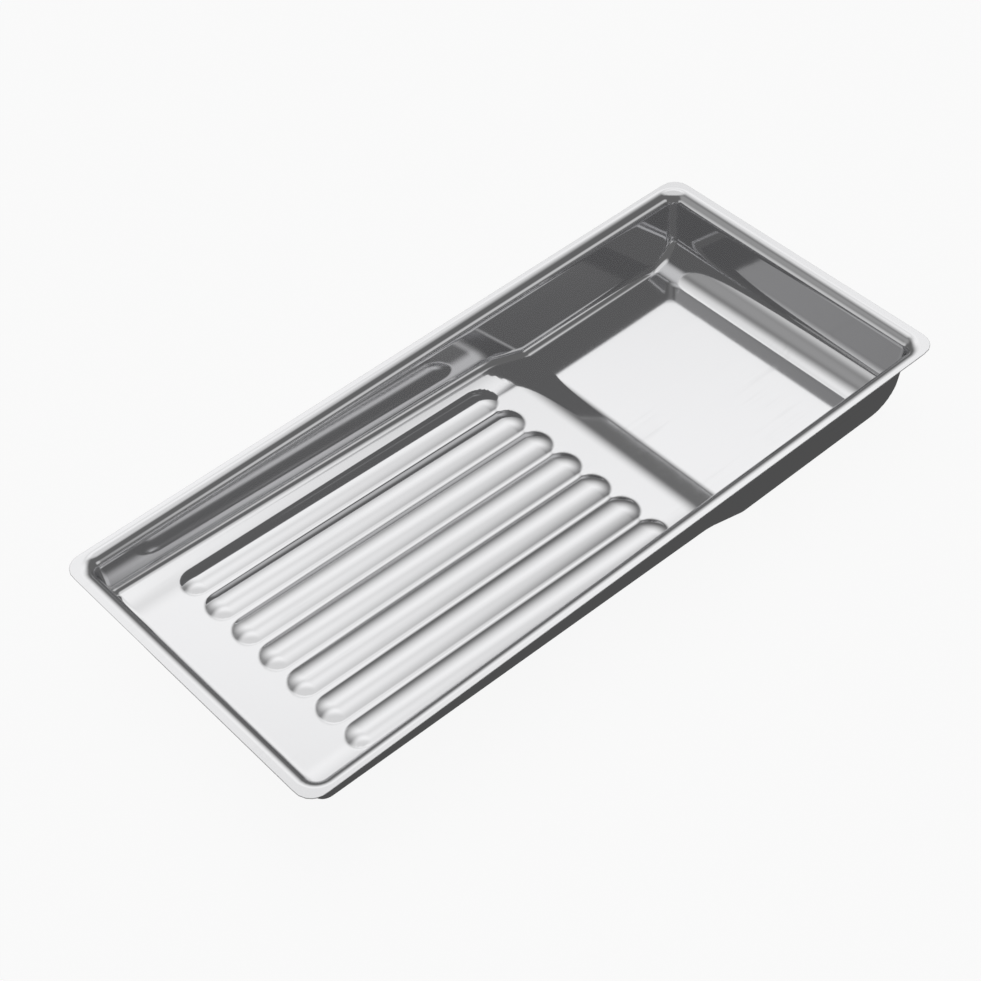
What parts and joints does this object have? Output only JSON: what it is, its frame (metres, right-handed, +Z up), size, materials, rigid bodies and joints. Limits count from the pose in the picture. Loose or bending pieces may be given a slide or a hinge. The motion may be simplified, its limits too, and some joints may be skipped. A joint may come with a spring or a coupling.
{
  "type": "paint roller tray",
  "caption": "Shallow stainless steel tray with a paint well and a sloping ribbed ramp, for loading a small paint roller and rolling it out.",
  "frame": {"origin": "centre of the rim's outline, on the plane that the underside of the well stands on", "axes": "+X along the tray towards the deep well end, +Y across it, +Z up"},
  "size_m": [0.36, 0.165, 0.037],
  "materials": {
    "polished_steel": "bright polished stainless steel sheet"
  },
  "bodies": {
    "root": {"tray_pan": "polished_steel"}
  },
  "joints": []
}
